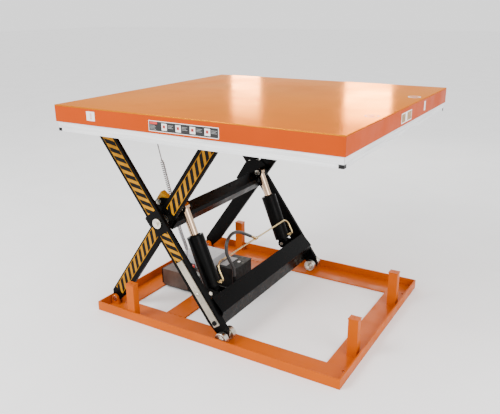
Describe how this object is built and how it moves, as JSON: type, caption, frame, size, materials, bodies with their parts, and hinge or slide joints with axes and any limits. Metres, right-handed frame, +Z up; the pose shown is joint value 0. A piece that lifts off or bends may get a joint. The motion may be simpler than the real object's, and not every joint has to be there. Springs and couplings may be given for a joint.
{
  "type": "scissor lift table",
  "caption": "Hydraulic single-scissor lift table: rolling arm pairs raise a flat skirted platform with a safety bar over an open base frame, with a power pack inside.",
  "frame": {"origin": "on the floor, under the centre of the platform", "axes": "+X along the platform's long side towards the roller end, +Y towards the far side, +Z up"},
  "size_m": [1.6, 1.552, 1.257],
  "materials": {
    "orange_paint": "gloss powder coat",
    "base_paint": "gloss powder coat",
    "zinc_steel": "bright zinc",
    "roller_steel": "turned steel",
    "chrome_rod": "hard chrome",
    "arm_paint": "gloss black",
    "black_steel": "satin black",
    "black_plastic": "fine texture",
    "pad_rubber": "matt",
    "bar_aluminium": "extruded, anodised",
    "motor_paint": "satin grey",
    "tank_plastic": "moulded",
    "lid_plastic": "fine texture",
    "valve_metal": "machined",
    "red_plastic": "moulded",
    "yellow_plastic": "moulded",
    "stay_paint": "satin grey",
    "cord_grey": "matt",
    "hose_rubber": "semi-matt",
    "zinc_pipe": "yellow zinc"
  },
  "bodies": {
    "root": {"side_rail_near": "base_paint", "side_rail_far": "base_paint", "end_rails": "base_paint", "base_cross_plate": "base_paint", "stop_posts": "base_paint", "post_caps": "base_paint", "base_pivot_brackets": "base_paint", "base_pins": "zinc_steel", "pack_tray": "black_steel", "pump_motor": "motor_paint", "motor_end_cover": "black_steel", "terminal_box": "black_plastic", "oil_tank": "tank_plastic", "tank_filler_cap": "black_plastic", "valve_block": "valve_metal", "lowering_solenoid": "black_plastic", "control_box": "black_plastic", "control_box_lid": "black_plastic", "coil_cord": "cord_grey"},
    "knob": {"lowering_knob": "red_plastic"},
    "inner_arms": {"inner_arm_near": "arm_paint", "inner_arm_far": "arm_paint", "central_beam": "arm_paint", "beam_gussets": "arm_paint", "gusset_bolts": "zinc_steel", "rod_clevis_ears": "arm_paint", "rod_pin_caps": "zinc_steel", "top_axles": "zinc_steel", "limit_switch": "yellow_plastic"},
    "outer_arms": {"outer_arm_near": "arm_paint", "outer_arm_far": "arm_paint", "lower_beam": "arm_paint", "cylinder_base_ears": "arm_paint", "cylinder_base_pins": "zinc_steel", "base_axles": "zinc_steel", "centre_pins": "zinc_steel", "centre_spacers": "zinc_steel", "centre_lock_rings": "zinc_steel", "hose_bulkhead": "black_steel", "stay_pivot": "black_steel"},
    "platform": {"platform_top": "orange_paint", "skirt_sides": "orange_paint", "skirt_ends": "orange_paint", "platform_ribs": "orange_paint", "roller_tracks": "orange_paint", "stop_pads": "pad_rubber", "platform_brackets": "orange_paint", "platform_pins": "zinc_steel", "cord_connector": "black_plastic"},
    "safety_bar": {"safety_bar_sides": "bar_aluminium", "safety_bar_ends": "bar_aluminium", "bar_corner_caps": "black_plastic"},
    "cylinders": {"cylinder_barrels": "arm_paint", "cylinder_glands": "black_steel", "hydraulic_pipe": "zinc_pipe", "hydraulic_hose": "hose_rubber"},
    "rods": {"cylinder_rods": "chrome_rod"},
    "rollers_low": {"base_rollers": "roller_steel"},
    "rollers_high": {"top_rollers": "roller_steel"},
    "stay": {"safety_stay": "stay_paint"}
  },
  "joints": [
    {"name": "lift_fold", "type": "hinge", "parent": "root", "child": "inner_arms", "pos_m": [-0.757, 0, 0.0443], "axis": [0, 1, 0], "range_deg": [0, 47.81], "deforming": ["coil_cord"]},
    {"name": "scissor_cross", "type": "hinge", "parent": "inner_arms", "child": "outer_arms", "pos_m": [-0.34526, 0, 0.61965], "axis": [0, 1, 0], "range_deg": [-95.63, 0]},
    {"name": "platform_level", "type": "hinge", "parent": "outer_arms", "child": "platform", "pos_m": [-0.757, 0, 1.195], "axis": [0, 1, 0], "range_deg": [0, 47.82]},
    {"name": "barrel_swing", "type": "hinge", "parent": "outer_arms", "child": "cylinders", "pos_m": [-0.08771, 0, 0.21679], "axis": [0, 1, 0], "range_deg": [-6.87, 0], "deforming": ["hydraulic_hose"]},
    {"name": "rod_stroke", "type": "slide", "parent": "cylinders", "child": "rods", "axis": [-0.3639, 0, 0.9314], "range_m": [-0.13519, 0]},
    {"name": "base_roller_spin", "type": "hinge", "parent": "outer_arms", "child": "rollers_low", "pos_m": [0.06648, 0, 0.0443], "axis": [0, 1, 0], "continuous": true},
    {"name": "top_roller_spin", "type": "hinge", "parent": "inner_arms", "child": "rollers_high", "pos_m": [0.06648, 0, 1.195], "axis": [0, 1, 0], "continuous": true},
    {"name": "safety_bar_trip", "type": "slide", "parent": "platform", "child": "safety_bar", "axis": [0, 0, 1], "range_m": [0, 0.006], "stiffness_N_per_m": 2000, "springref_m": -0.06},
    {"name": "stay_swing", "type": "hinge", "parent": "outer_arms", "child": "stay", "pos_m": [0.0141, 0, 0.11749], "axis": [0, 1, 0], "range_deg": [0, 20]},
    {"name": "knob_press", "type": "slide", "parent": "root", "child": "knob", "axis": [0, 0, -1], "range_m": [0, 0.004], "stiffness_N_per_m": 400, "springref_m": -0.004}
  ],
  "couplings": [
    {"joint": "scissor_cross", "follows": "lift_fold", "ratio": -2},
    {"joint": "platform_level", "follows": "lift_fold", "ratio": 1},
    {"joint": "barrel_swing", "follows": "lift_fold", "ratio": -0.1434},
    {"joint": "rod_stroke", "follows": "lift_fold", "m_per_rad": -0.16201}
  ]
}
